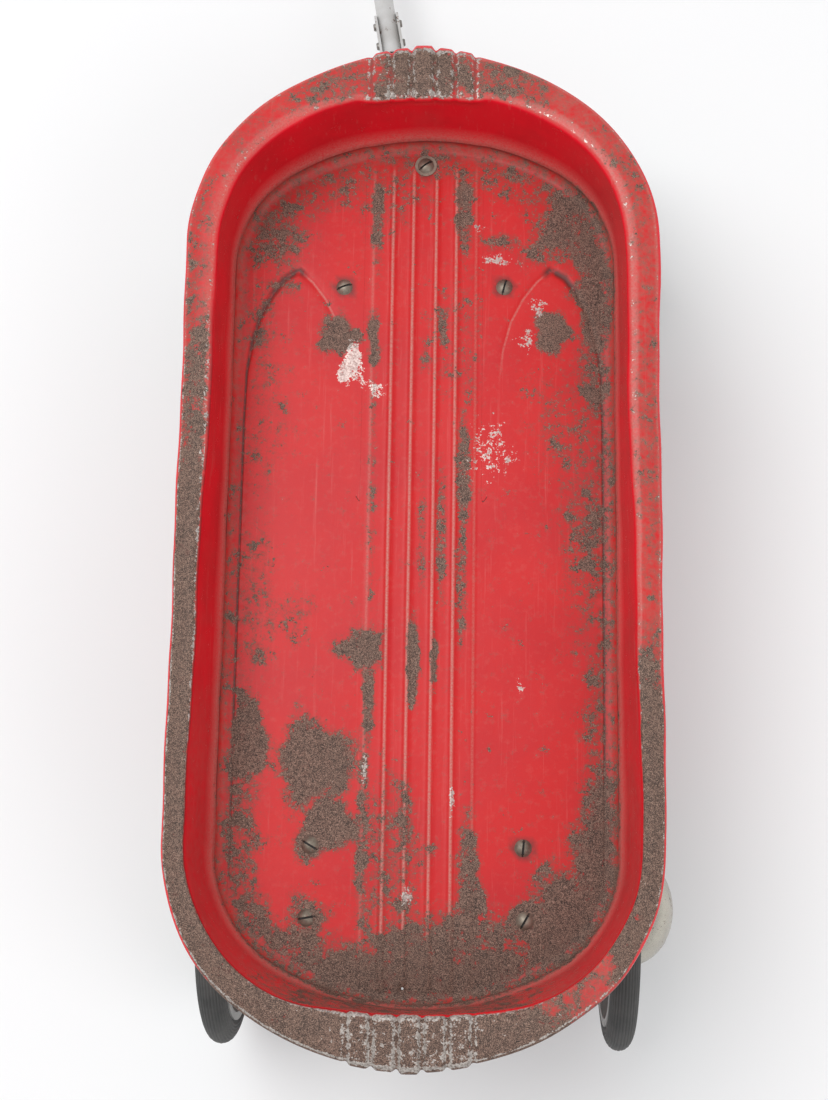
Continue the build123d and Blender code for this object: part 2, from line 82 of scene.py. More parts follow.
board_mesh = bpy.data.meshes.new("board")
reach = 6.0
board_mesh.from_pydata(
    [(-reach, -reach, 0), (reach, -reach, 0), (reach, reach, 0), (-reach, reach, 0)], [], [(0, 1, 2, 3)]
)
board = bpy.data.objects.new("board", board_mesh)
bpy.context.collection.objects.link(board)
board_paint = bpy.data.materials.new("board_paint")
board_paint.use_nodes = True
board_shader = board_paint.node_tree.nodes["Principled BSDF"]
board_shader.inputs["Base Color"].default_value = (0.885, 0.890, 0.890, 1)
board_shader.inputs["Roughness"].default_value = 0.8
board_mesh.materials.append(board_paint)
board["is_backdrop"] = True

sky = bpy.data.worlds.new("sky")
sky.use_nodes = True
sky.node_tree.nodes["Background"].inputs["Color"].default_value = (0.985, 0.985, 1.0, 1)
sky.node_tree.nodes["Background"].inputs["Strength"].default_value = 0.72
bpy.context.scene.world = sky
for name, offset, size, power in (
    ("soft_box", (-0.9, 0.5, 2.6), 1.6, 42.0),
    ("fill_box", (1.6, -1.2, 2.2), 1.5, 14.0),
):
    lamp_data = bpy.data.lights.new(name, "AREA")
    lamp_data.size, lamp_data.energy = size, power
    lamp = bpy.data.objects.new(name, lamp_data)
    lamp.location = rim_middle + Vector(offset)
    lamp.rotation_euler = (rim_middle - lamp.location).to_track_quat("-Z", "Y").to_euler()
    bpy.context.collection.objects.link(lamp)


# The tub is one deep drawing of 1.4 mm sheet steel: a flat floor, a near-upright wall, and a broad
# lip rolled over at its edge. Its floor is stiffened by ribs and two arched panels, and the lip's
# ends by pads pressed between short grooves.
SHEET = 0.0014
FLOOR_OVAL = (0.1725, 0.3850, 0.388, 0.107, 0.239)
BEND_OVAL = (0.1805, 0.388, 0.3885, 0.127, 0.420)
RIM_OVAL = (0.2033, 0.431, 0.431, 0.1566, 0.2317)
PAD_ZONE = 0.062
floor_z = tub_low.z + SHEET
rim_z = tub_high.z
tub_y = rim_middle.y


def quarter(oval, end, inset):
    """Points and outward normals from an oval's tip round to its side's middle, for the front or rear."""
    half, front, rear, corner, tip = oval
    reach = (front if end > 0 else rear) - inset
    half, corner, tip = half - inset, corner - inset, tip - inset
    across = half - corner
    along = math.sqrt((tip - corner) ** 2 - across**2)
    lean = math.atan2(along, across)
    x = np.linspace(0, PAD_ZONE, 49)
    turn = np.arccos(x / tip)
    turn = np.append(turn, np.linspace(turn[-1], 0, 45)[1:])
    on_tip = turn > lean
    px = np.where(on_tip, tip * np.cos(turn), across + corner * np.cos(turn))
    py = np.where(on_tip, tip * np.sin(turn), along + corner * np.sin(turn)) + reach - tip
    side_y = np.linspace(py[-1], 0, 19)[1:]
    px = np.append(px, np.full(18, half))
    py = np.append(py, side_y)
    turn = np.append(turn, np.zeros(18))
    return np.stack([px, end * py], 1), np.stack([np.cos(turn), end * np.sin(turn)], 1)


def oval_ring(oval, inset=0.0):
    """A whole oval from its front tip clockwise, with its outward normals."""
    (fp, fn), (rp, rn) = quarter(oval, 1, inset), quarter(oval, -1, inset)
    flip = np.array([-1.0, 1.0])
    points = np.concatenate([fp, rp[-2::-1], rp[1:] * flip, fp[-2:0:-1] * flip])
    normals = np.concatenate([fn, rn[-2::-1], rn[1:] * flip, fn[-2:0:-1] * flip])
    return points, normals


def smooth(low, high, value):
    t = np.clip((value - low) / (high - low), 0, 1)
    return t * t * (3 - 2 * t)


def arch_line(side):
    """The pressed line of one side panel: up from the rear, over the arch and down its inner leg."""
    line = [(0.160, -0.335), (0.161, -0.10), (0.161, 0.06), (0.161, 0.12), (0.160, 0.165), (0.156, 0.194)]
    line += [(0.149, 0.219), (0.139, 0.239), (0.128, 0.254), (0.115, 0.262), (0.102, 0.250), (0.090, 0.234)]
    line += [(0.079, 0.212), (0.072, 0.185), (0.068, 0.15)]
    return np.array([(side * x, y) for x, y in line])


def arch_reach(points, side):
    """Each point's distance from an arch's line, its signed side of it and its share of the way along."""
    line = arch_line(side)
    best = np.full(len(points), 9.0)
    share = np.zeros(len(points))
    inside = np.zeros(len(points))
    lengths = np.linalg.norm(np.diff(line, axis=0), axis=1)
    starts = np.concatenate([[0], np.cumsum(lengths)])
    for i, length in enumerate(lengths):
        a, b = line[i], line[i + 1]
        t = np.clip(((points - a) @ (b - a)) / length**2, 0, 1)
        away = points - (a + t[:, None] * (b - a))
        distance = np.linalg.norm(away, axis=1)
        near = distance < best
        turned = side * ((b - a)[0] * away[:, 1] - (b - a)[1] * away[:, 0])
        best = np.where(near, distance, best)
        share = np.where(near, (starts[i] + t * length) / starts[-1], share)
        inside = np.where(near, np.sign(turned), inside)
    return best, inside, share


RIBS = (-0.029, -0.0105, 0.0105, 0.029)


def floor_relief(points):
    """The floor's pressed height above its flat, from its ribs, middle band, arches and small dents."""
    x, y = points[:, 0], points[:, 1]
    run = smooth(0.362, 0.348, y) * smooth(-0.379, -0.372, y)
    height = 0.0008 * smooth(0.0495, 0.0455, np.abs(x)) * run
    for rib in RIBS:
        height += 0.0018 * np.exp(-(((x - rib) / 0.0026) ** 2)) * run
    for side in (-1, 1):
        distance, inside, share = arch_reach(points, side)
        depth = 0.0006 + 0.0004 * smooth(0.62, 0.80, share) * smooth(0.93, 0.85, share)
        fade = smooth(1.0, 0.9, share) * smooth(0.0, 0.05, share)
        height -= depth * np.exp(-((distance / 0.0024) ** 2)) * fade
        height -= 0.0003 * fade * (inside > 0) * smooth(0.0, 0.003, distance) * smooth(0.07, 0.01, distance)
    dents = 0.0003 * np.sin(23 * x + 4 * y) * np.sin(17 * y - 1.3)
    height += dents + 0.0002 * np.sin(61 * x) * np.sin(47 * y + 2)
    return height


def soft_spots(points, spots):
    """The strongest of some soft oval spots of (x, y, half width, half length, strength) at each point."""
    total = np.zeros(len(points))
    for x, y, half_x, half_y, strength in spots:
        bearing = np.arctan2(points[:, 1] - y, points[:, 0] - x)
        far = np.hypot((points[:, 0] - x) / half_x, (points[:, 1] - y) / half_y)
        far *= 1 + 0.14 * np.sin(3 * bearing + 91 * x) + 0.10 * np.sin(5 * bearing + 57 * y)
        total = np.maximum(total, strength * smooth(1.55, 0.35, far))
    return total


# Each ring: the two ovals it lies between, its share of the way, its step outward, its height,
# the way its skin faces (0 outward, 90 up, 180 inward) and how much of the pads' shape it takes.
rings = []
COVE = 0.009
for angle in (0, 18, 36, 54, 72, 90):
    a = math.radians(angle)
    rings.append(("floor", 0, COVE * (math.sin(a) - 1), floor_z + COVE * (1 - math.cos(a)), 90 + angle, 0))
BEAD = ((0.02, -0.0016, 0.0115, 150), (0.04, -0.0016, 0.0135, 180), (0.06, 0.0006, 0.0165, 180))
for share, out, rise, facing in BEAD:
    rings.append(("floor", share, out, floor_z + rise, facing, 0))
for share, rise, weight in ((0.3, 0.036, 0), (0.55, 0.056, 0), (0.8, 0.075, 0.02), (0.93, 0.085, 0.15)):
    rings.append(("floor", share, 0.0008 * (1 - share), floor_z + rise, 180, weight))
BEND = 0.005
for angle, weight in ((0, 0.35), (25, 0.7), (50, 0.9), (72, 1), (90, 1)):
    a = math.radians(angle)
    out = BEND * (1 - math.cos(a))
    rings.append(("bend", 0, out, rim_z - BEND + BEND * math.sin(a), 180 - angle, weight))
ROLL = 0.005
LIP_FALL = 0.004
for step in range(1, 8):
    share = step / 8
    out = BEND * (1 - share) - ROLL * share
    crown = 0.0007 * math.sin(math.pi * share)
    rings.append(("bend", share, out, rim_z - LIP_FALL * share + crown, 86, 1))
for angle, weight in ((84, 1), (63, 1), (42, 1), (21, 1), (0, 0.9)):
    a = math.radians(angle)
    roll_z = rim_z - LIP_FALL - ROLL + ROLL * math.sin(a)
    rings.append(("rim", 0, ROLL * (math.cos(a) - 1), roll_z, angle, weight))
HEM = 0.0034
hem_z = rim_z - LIP_FALL - 0.010 + HEM
for angle, weight in ((0, 0.75), (-30, 0.6), (-60, 0.45), (-90, 0.3), (-120, 0.15), (-150, 0.1), (-185, 0)):
    a = math.radians(angle)
    rings.append(("rim", 0, HEM * (math.cos(a) - 1), hem_z + HEM * math.sin(a), angle, weight))

ovals = {"floor": (FLOOR_OVAL, BEND_OVAL), "bend": (BEND_OVAL, RIM_OVAL), "rim": (RIM_OVAL, RIM_OVAL)}
rows = []
mark_rows = []
for number, (kind, share, out, z, facing, weight) in enumerate(rings):
    near, far = ovals[kind]
    if number == 0:
        points, normals = oval_ring(near, -out)
    else:
        (p0, n0), (p1, n1) = oval_ring(near), oval_ring(far)
        normals = n0 + (n1 - n0) * share
        normals /= np.linalg.norm(normals, axis=1)[:, None]
        points = p0 + (p1 - p0) * share + normals * out
    x = points[:, 0]
    ahead = points[:, 1] > 0
    push = np.zeros(len(x))
    groove = np.zeros(len(x))
    for grooves, here in (((0.0105, 0.028, 0.0455), ahead), ((0.0100, 0.030, 0.050), ~ahead)):
        near_groove = np.min([np.abs(np.abs(x) - g) for g in grooves], axis=0)
        in_pads = smooth(grooves[-1] + 0.0005, grooves[-1] - 0.0005, np.abs(x))
        pad = 0.0017 * smooth(0.0, 0.0045, near_groove) * in_pads
        pad += 0.0012 * smooth(grooves[0], grooves[0] - 0.004, np.abs(x))
        shape = pad - 0.0012 * np.exp(-((near_groove / 0.0022) ** 2))
        ends = (np.abs(points[:, 1]) > 0.3) * here
        push += shape * ends
        groove += np.exp(-((near_groove / 0.0026) ** 2)) * ends * (np.abs(x) < grooves[-1] + 0.004)
    tip = (np.abs(points[:, 1]) > 0.3) * ahead
    peak = 0.0042 * np.exp(-((x / 0.042) ** 2)) * tip * smooth(100, 20, facing)
    bulge = 0.0040 * smooth(0.060, 0.044, np.abs(x)) * tip * smooth(84, 120, facing)
    peak -= bulge * (0.25 + 0.75 * (weight > 0.3))
    mouth = smooth(0.04, 0.12, np.abs(x)) * (share if kind == "floor" else smooth(100, 150, facing))
    leaning = 0.0044 * smooth(-0.06, 0.12, points[:, 1]) + 0.0022 * smooth(0.18, 0.30, points[:, 1])
    peak -= mouth * (leaning - 0.0030 * smooth(-0.08, -0.26, points[:, 1])) * (kind != "rim")
    peak += 0.0018 * (x > 0) * np.exp(-(((points[:, 1] - 0.25) / 0.06) ** 2)) * smooth(100, 20, facing)
    a = math.radians(facing)
    wave = 0.0005 * np.sin(31 * points[:, 1] + 9 * z / 0.1) + 0.0003 * np.sin(83 * points[:, 1] + 40 * x)
    wave = wave * (number > 6)
    step_out = push * weight * math.cos(a) + peak + wave
    step_up = push * weight * math.sin(a)
    points = points + normals * step_out[:, None]
    if number == 0:
        heights = floor_z + floor_relief(points)
    else:
        heights = np.full(len(x), z) + step_up
    rows.append(np.column_stack([points, heights]))
    mark_rows.append((points, groove, kind, facing))
columns = len(rows[0])

# The floor: close points where it is ribbed or arched, and wide ones elsewhere, joined to the cove's foot.
edge = rows[0][:, :2]
fine = [(x, y) for x in np.arange(-0.0555, 0.056, 0.0015) for y in np.arange(-0.384, 0.384, 0.0085)]
wide = [(x, y) for x in np.arange(0.0605, 0.170, 0.0055) for y in np.arange(-0.384, 0.384, 0.006)]
wide += [(-x, y) for x, y in wide]
wide = np.array(wide)
clear = np.minimum(arch_reach(wide, -1)[0], arch_reach(wide, 1)[0]) > 0.0055
seeds = [np.array(fine), wide[clear]]
BESIDE_ARCH = (-0.0042, -0.0028, -0.0016, 0, 0.0016, 0.0028, 0.0042)
for side in (-1, 1):
    line = arch_line(side)
    for a, b in zip(line, line[1:]):
        steps = max(1, int(np.linalg.norm(b - a) / (0.0035 if a[1] > 0.1 else 0.012)))
        across = np.array([-(b - a)[1], (b - a)[0]]) / np.linalg.norm(b - a)
        for step in range(steps):
            on_line = a + (b - a) * step / steps
            seeds.append(np.array([on_line + across * d for d in BESIDE_ARCH]))
seeds = np.concatenate(seeds)
ahead_of = np.roll(edge, -1, axis=0)
crosses = (edge[None, :, 1] > seeds[:, None, 1]) != (ahead_of[None, :, 1] > seeds[:, None, 1])
level = ahead_of[:, 1] == edge[:, 1]
slope = (ahead_of[:, 0] - edge[:, 0]) / np.where(level, 1e-12, ahead_of[:, 1] - edge[:, 1])
left_of = seeds[:, None, 0] < edge[None, :, 0] + (seeds[:, None, 1] - edge[None, :, 1]) * slope[None, :]
inside_edge = (crosses & left_of).sum(1) % 2 == 1
near_edge = np.array([np.min(np.hypot(*(edge - s).T)) for s in seeds])
seeds = seeds[inside_edge & (near_edge > 0.0016)]
DRAIN = np.array([-0.010, -0.3745])
DRAIN_RADIUS = 0.0014
seeds = seeds[np.hypot(*(seeds - DRAIN).T) > DRAIN_RADIUS + 0.001]
bearings = np.arange(16) * math.pi / 8
hole = DRAIN + DRAIN_RADIUS * np.stack([np.cos(bearings), np.sin(bearings)], 1)
seeds = np.concatenate([seeds, hole])
flat = [Vector(p) for p in np.concatenate([edge, seeds])]
made = delaunay_2d_cdt(flat, [], [list(range(columns))[::-1]], 1, 1e-7)
source = [members[0] for members in made[3]]
tub_faces = []
for face in made[2]:
    corners = [source[i] for i in face]
    middle = np.mean([flat[i] for i in corners], axis=0)
    if np.hypot(*(middle - DRAIN)) > DRAIN_RADIUS * 0.98:
        tub_faces.append(corners)
ring_count = len(rows)
floor_points = np.column_stack([seeds, floor_z + floor_relief(seeds)])
tub_points = np.concatenate([rows[0], floor_points, *rows[1:]])


def ring_start(number):
    return 0 if number == 0 else columns + len(seeds) + (number - 1) * columns


for number in range(ring_count - 1):
    low, high = ring_start(number), ring_start(number + 1)
    for i in range(columns):
        j = (i + 1) % columns
        tub_faces.append((low + i, low + j, high + j, high + i))

# Where the tub's enamel has gone: rust where loads and water lay, bare steel where its lip and floor were
# rubbed, and chalky crests on its ribs. Painted highlights lie on the ribs' crests, the bead, and the lip's
# bends and groove flanks; painted shade lies under the bead, under the lip's inner edge and hem, and round
# the drain.
# The grooves and the floor round the screws are darkened, and the faded floor and lip take a painted sheen.
# Each spot is (x, y, half width, half length, strength) in metres from the tub's middle.
FLOOR_RUST = [
    (0.140, 0.305, 0.046, 0.055, 0.78), (0.157, 0.240, 0.022, 0.080, 0.86),
    (0.100, 0.350, 0.080, 0.034, 0.52), (0.152, 0.160, 0.016, 0.060, 0.66),
    (-0.138, 0.298, 0.034, 0.046, 0.66), (-0.100, 0.345, 0.066, 0.034, 0.52),
    (0.0, 0.372, 0.070, 0.020, 0.52), (-0.130, 0.250, 0.022, 0.018, 0.52),
    (-0.148, 0.205, 0.016, 0.050, 0.50), (-0.078, 0.200, 0.019, 0.018, 1.10),
    (-0.046, 0.205, 0.006, 0.020, 0.95), (-0.044, 0.180, 0.009, 0.007, 0.95),
    (0.117, 0.202, 0.016, 0.021, 1.15), (0.017, 0.210, 0.006, 0.018, 0.80),
    (0.002, 0.176, 0.007, 0.010, 0.74), (-0.044, 0.322, 0.007, 0.055, 0.72),
    (0.036, 0.328, 0.010, 0.045, 0.76), (0.070, 0.290, 0.022, 0.009, 0.64),
    (0.0, -0.372, 0.190, 0.040, 0.92), (0.020, -0.345, 0.070, 0.040, 0.80),
    (-0.110, -0.345, 0.050, 0.036, 0.72), (0.130, -0.325, 0.046, 0.050, 0.95),
    (0.155, -0.262, 0.026, 0.085, 0.88), (0.155, -0.150, 0.018, 0.090, 0.56),
    (-0.153, -0.250, 0.022, 0.100, 0.62), (-0.088, -0.186, 0.035, 0.035, 1.15),
    (-0.074, -0.240, 0.026, 0.023, 1.10), (-0.092, -0.258, 0.016, 0.012, 0.90),
    (-0.148, -0.172, 0.020, 0.042, 0.94), (-0.140, -0.320, 0.022, 0.030, 0.74),
    (-0.050, -0.088, 0.022, 0.020, 0.88), (-0.044, -0.118, 0.006, 0.050, 0.82),
    (-0.005, -0.100, 0.006, 0.042, 1.00), (0.013, -0.095, 0.004, 0.024, 0.90),
    (0.146, 0.030, 0.032, 0.170, 0.46), (0.150, 0.020, 0.020, 0.040, 0.66),
    (-0.144, 0.120, 0.034, 0.110, 0.36), (-0.145, -0.060, 0.024, 0.090, 0.44),
    (0.037, 0.080, 0.008, 0.060, 0.70), (0.036, -0.010, 0.006, 0.060, 0.62),
    (0.018, 0.020, 0.006, 0.070, 0.62), (0.001, 0.010, 0.005, 0.060, 0.50),
    (-0.166, 0.0, 0.010, 0.320, 0.46), (0.166, 0.04, 0.010, 0.300, 0.62),
    (-0.020, -0.270, 0.034, 0.090, 0.50), (0.030, 0.200, 0.034, 0.090, 0.36),
    (-0.030, 0.335, 0.050, 0.040, 0.44), (-0.047, -0.230, 0.007, 0.110, 0.62),
    (-0.010, -0.240, 0.008, 0.040, 0.66), (0.046, -0.300, 0.012, 0.080, 0.84),
    (0.060, -0.340, 0.050, 0.035, 0.66), (-0.092, -0.317, 0.020, 0.020, 0.70),
    (0.092, -0.317, 0.017, 0.017, 1.00), (0.120, 0.120, 0.030, 0.060, 0.40),
    (-0.110, -0.060, 0.020, 0.030, 0.42), (-0.045, 0.080, 0.006, 0.160, 0.40),
]
FLOOR_BARE = [
    (-0.064, 0.172, 0.010, 0.018, 0.92), (-0.072, 0.162, 0.007, 0.010, 0.86),
    (-0.042, 0.150, 0.012, 0.008, 0.66), (0.050, 0.302, 0.007, 0.004, 0.74),
    (0.066, 0.272, 0.020, 0.006, 0.58), (0.104, 0.228, 0.008, 0.010, 0.68),
    (0.092, 0.196, 0.010, 0.014, 0.54), (0.088, -0.118, 0.004, 0.005, 0.90),
    (0.062, 0.090, 0.024, 0.034, 0.43), (-0.008, -0.300, 0.005, 0.012, 0.66),
    (-0.046, -0.190, 0.003, 0.018, 0.60), (0.030, -0.215, 0.003, 0.014, 0.66),
]
LIP_RUST = [
    (-0.192, -0.140, 0.040, 0.270, 1.05), (-0.188, 0.110, 0.020, 0.120, 0.70),
    (0.193, -0.230, 0.030, 0.150, 1.00), (0.196, 0.060, 0.030, 0.180, 0.40),
    (-0.080, 0.402, 0.050, 0.040, 0.54), (0.080, 0.404, 0.044, 0.040, 0.60),
    (0.0, 0.410, 0.050, 0.055, 0.90), (0.0, -0.410, 0.155, 0.060, 1.15),
    (-0.140, -0.360, 0.080, 0.095, 1.10), (0.125, -0.370, 0.050, 0.050, 0.52),
    (-0.190, 0.240, 0.020, 0.100, 0.46), (0.165, 0.290, 0.050, 0.090, 0.44),
    (-0.150, 0.350, 0.040, 0.050, 0.34), (0.175, -0.330, 0.030, 0.050, 0.86),
]
flat_points = tub_points[:, :2]
total = len(tub_points)
rust = np.full(total, 0.06)
bare, grime, chalk, crest, dust, ribbed = (np.zeros(total) for _ in range(6))
on_floor = slice(0, columns + len(seeds))
rust[on_floor] = np.maximum(0.16, soft_spots(flat_points[on_floor], FLOOR_RUST))
bare[on_floor] = soft_spots(flat_points[on_floor], FLOOR_BARE)
# The floor's faded paint, which also takes a pinkish painted sheen in the shader.
chalk[on_floor] = 1.0
fx, fy = flat_points[on_floor].T
near_drain = np.hypot(fx - DRAIN[0], fy - DRAIN[1])
# A dark ring round the drain hole: painted shade for the dark under the floor.
grime[on_floor] = smooth(0.005, 0.003, near_drain)
# The floor is darkened in a ring round each screw head.
for screw_x, screw_y in ((0, 0.3635), (-0.073, 0.2455), (0.073, 0.2455), (-0.091, -0.257), (0.091, -0.257)):
    near_screw = np.hypot(fx - screw_x, fy - screw_y)
    grime[on_floor] = np.maximum(grime[on_floor], 0.8 * smooth(0.0115, 0.0085, near_screw))
dust[on_floor] = 0.35 * smooth(0.335, 0.372, fy) + 0.22 * smooth(0.150, 0.165, np.abs(fx))
ribbed[on_floor] = smooth(0.366, 0.352, fy)
arch, arch_share = np.ones(total), np.zeros(total)
low_part = slice(0, ring_start(7))
for side in (-1, 1):
    distance, inside, share = arch_reach(flat_points[low_part], side)
    here = (flat_points[low_part][:, 0] * side > 0.054) & (flat_points[low_part][:, 1] > -0.37)
    arch[low_part] = np.where(here, np.clip(distance * inside / 0.02, -1, 1), arch[low_part])
    arch_share[low_part] = np.where(here, share, arch_share[low_part])
for number, (points, groove, kind, facing) in enumerate(mark_rows):
    start = ring_start(number)
    span = slice(start, start + columns)
    x, y = points.T
    at_rear = smooth(-0.34, -0.385, y)
    if kind == "floor" and number < 8:
        rust[span] = np.maximum(0.30, 0.8 * soft_spots(points, FLOOR_RUST))
        chalk[span] = 0.9
        dust[span] = (0.5, 0.8, 0.95, 1.0, 0.9, 0.6, 0.2, 0.1)[number] * (0.55 + 0.45 * smooth(0.1, 0.34, y))
        # The cove is darkened in a line just under the bead: painted shade below its step.
        grime[span] = (0.1, 0.0, 0.0, 0.0, 0.05, 0.3, 0.85, 0.25)[number]
        # The bead's rings get a pale pink line: a painted highlight.
        crest[span] = 0.7 * (number == 7)
    elif kind == "floor":
        rust[span] = 0.04 + 0.50 * at_rear * smooth(0.10, 0.02, x - 0.05)
        # The bead's upper ring carries the same painted highlight.
        crest[span] = 0.7 if number == 8 else 0.0
        dust[span] = 0.22 * smooth(0.0, -0.25, y) + 0.5 * at_rear
    else:
        on_top = smooth(150, 118, facing) * np.maximum(smooth(40, 66, facing), at_rear)
        rust[span] = np.maximum(0.22, soft_spots(points, LIP_RUST)) * on_top + 0.08 * (1 - on_top)
        rust[span] -= 0.30 * groove * on_top * (1 - at_rear)
        # The lip's hem is darkened where it faces out and down, and more at the rear: painted shade under
        # the roll.
        grime[span] = 0.75 * at_rear * smooth(46, 14, facing) + 0.5 * smooth(20, 0, facing)
        # The lip's top is paler like the floor: faded paint and painted sheen.
        chalk[span] = 0.8 * on_top
        dust[span] = on_top * (0.35 + 0.30 * smooth(0.0, 0.1, x)) + 0.9 * groove * on_top
        left = smooth(0.02, -0.05, x) * smooth(0.24, 0.10, y)
        ends = smooth(0.056, 0.046, np.abs(x)) * (np.abs(y) > 0.3)
        # Bare steel rubbed through along the lip's inner and outer bends, and standing in for painted
        # highlights there as well.
        inner, outer = (math.exp(-(((facing - middle) / 14) ** 2)) for middle in (122, 62))
        strength = 0.44 + 0.24 * left + 0.14 * ends + 0.10 * at_rear + 0.12 * smooth(0.0, -0.1, y)
        bare[span] = np.maximum(inner, 0.8 * outer) * strength * (1 - 0.5 * groove)
        bare[span] += 0.14 * at_rear * on_top + 0.16 * ends * on_top
        # The pads' groove flanks get pale painted highlights.
        flank_glint = 4 * groove * (1 - groove) * on_top
        bare[span] += 0.34 * flank_glint
        # Pale lines along the lip's inner and outer bends: painted highlights.
        crest[span] = (0.8 * inner + 0.5 * outer) * (1 - groove)
        # The middles of the lip's grooves are darkened.
        grime[span] = np.maximum(grime[span], 0.6 * groove**3 * on_top)
        # A dark line under the left lip's inner edge: painted shadow.
        grime[span] = np.maximum(grime[span], 0.8 * left * math.exp(-(((facing - 158) / 12) ** 2)))
surface_marks = {"rust": rust, "bare": bare, "grime": grime, "chalk": chalk, "crest": crest, "dust": dust}
surface_marks |= {"ribbed": ribbed, "arch": arch * 0.5 + 0.5, "arch_share": arch_share}

tub_mesh = bpy.data.meshes.new("tub_pressing")
placed = tub_points + np.array([0.0, tub_y, 0.0])
tub_mesh.from_pydata(placed.tolist(), [], tub_faces)
for name, values in surface_marks.items():
    mark_values = np.clip(values, 0, 1).astype(np.float32)
    tub_mesh.attributes.new(name, "FLOAT", "POINT").data.foreach_set("value", mark_values)
tub_mesh.shade_smooth()
tub = bpy.data.objects.new("tub_pressing", tub_mesh)
bpy.context.collection.objects.link(tub)
thickness = tub.modifiers.new("sheet", "SOLIDIFY")
thickness.thickness, thickness.offset = SHEET, -1.0


def add_node(tree, kind, sockets=None, **settings):
    """Adds a shader node, and links or sets the sockets given by name or number."""
    node = tree.nodes.new(kind)
    for key, value in settings.items():
        setattr(node, key, value)
    for key, value in (sockets or {}).items():
        if isinstance(value, bpy.types.NodeSocket):
            tree.links.new(value, node.inputs[key])
        else:
            node.inputs[key].default_value = value
    return node


def figure(tree, operation, a, b=0.0, c=0.0):
    return add_node(tree, "ShaderNodeMath", {0: a, 1: b, 2: c}, operation=operation).outputs[0]


def blended(tree, share, a, b):
    return add_node(tree, "ShaderNodeMix", {0: share, 6: a, 7: b}, data_type="RGBA").outputs[2]


def ramped(tree, value, low, high):
    """0 below low and 1 above high."""
    return add_node(tree, "ShaderNodeMapRange", {0: value, 1: low, 2: high}, clamp=True).outputs[0]


def grained(tree, where, scale, detail=4.0, roughness=0.6):
    sockets = {"Vector": where, "Scale": scale, "Detail": detail, "Roughness": roughness}
    return add_node(tree, "ShaderNodeTexNoise", sockets).outputs["Fac"]


def new_group(name, takes, gives):
    tree = bpy.data.node_groups.new(name, "ShaderNodeTree")
    for socket, kind, value in takes:
        made = tree.interface.new_socket(socket, in_out="INPUT", socket_type=kind)
        if value is not None:
            made.default_value = value
    for socket, kind in gives:
        tree.interface.new_socket(socket, in_out="OUTPUT", socket_type=kind)
    return tree, tree.nodes.new("NodeGroupInput"), tree.nodes.new("NodeGroupOutput")


COLOUR, NUMBER = "NodeSocketColor", "NodeSocketFloat"

# Rust: grey-brown scale with crisp ragged edges, dark and pale grains in it and flecks of paint left.
rust_group, takes, gives = new_group(
    "rust_scale",
    [("Amount", NUMBER, 0.3)],
    [("Mask", NUMBER), ("Haze", NUMBER), ("Colour", COLOUR), ("Height", NUMBER)],
)
place = add_node(rust_group, "ShaderNodeTexCoord").outputs["Object"]
patch = grained(rust_group, place, 62.0, 12.0, 0.68)
blotch = grained(rust_group, place, 150.0, 8.0, 0.7)
fleck = grained(rust_group, place, 420.0, 5.0, 0.72)
grit = grained(rust_group, place, 1300.0, 2.0, 0.6)
amount = takes.outputs["Amount"]


def off_middle(value, spread):
    """A noise value moved to swing about zero."""
    return figure(rust_group, "MULTIPLY", figure(rust_group, "SUBTRACT", value, 0.5), spread)


def summed(first, *others):
    for other in others:
        first = figure(rust_group, "ADD", first, other)
    return first


island = ramped(rust_group, summed(amount, off_middle(patch, 2.7), off_middle(fleck, 1.0)), 0.60, 0.64)
spots = summed(figure(rust_group, "MULTIPLY", amount, 0.9), off_middle(blotch, 2.0), off_middle(fleck, 1.1))
spots = ramped(rust_group, spots, 0.56, 0.62)
mask = figure(rust_group, "MAXIMUM", island, figure(rust_group, "MULTIPLY", spots, 0.85))
soft = summed(amount, off_middle(blotch, 1.1), off_middle(patch, 1.0))
soft = summed(soft, off_middle(grit, 0.7), off_middle(fleck, 0.8))
haze = figure(rust_group, "MULTIPLY", ramped(rust_group, soft, 0.28, 0.78), 0.88)
dark_scale, light_scale = (0.082, 0.053, 0.042, 1), (0.165, 0.098, 0.074, 1)
tone = blended(rust_group, ramped(rust_group, blotch, 0.38, 0.62), dark_scale, light_scale)
tone = blended(rust_group, ramped(rust_group, fleck, 0.50, 0.68), tone, (0.22, 0.140, 0.106, 1))
tone = blended(rust_group, ramped(rust_group, fleck, 0.46, 0.34), tone, (0.046, 0.031, 0.026, 1))
tone = blended(rust_group, ramped(rust_group, grit, 0.53, 0.68), tone, (0.36, 0.235, 0.18, 1))
tone = blended(rust_group, ramped(rust_group, grit, 0.46, 0.36), tone, (0.030, 0.020, 0.016, 1))
rust_group.links.new(mask, gives.inputs["Mask"])
rust_group.links.new(haze, gives.inputs["Haze"])
rust_group.links.new(tone, gives.inputs["Colour"])
rust_group.links.new(figure(rust_group, "MULTIPLY", fleck, mask), gives.inputs["Height"])

# The tub's enamel: deep and glossy on its wall, faded on its floor and lip with a pinkish painted sheen,
# chalked, rubbed and given painted highlights on its crests, and darkened along its lines, partly as painted
# shade.
red = bpy.data.materials.new("red_enamel")
red.use_nodes = True
tree = red.node_tree
shader = tree.nodes["Principled BSDF"]
where = add_node(tree, "ShaderNodeTexCoord").outputs["Object"]


def tub_mark(name):
    return add_node(tree, "ShaderNodeAttribute", attribute_name=name).outputs["Fac"]


def line_at(distance, core, fade):
    """1 within the core of a line and 0 beyond its fade."""
    return figure(tree, "SUBTRACT", 1.0, ramped(tree, distance, core, fade))


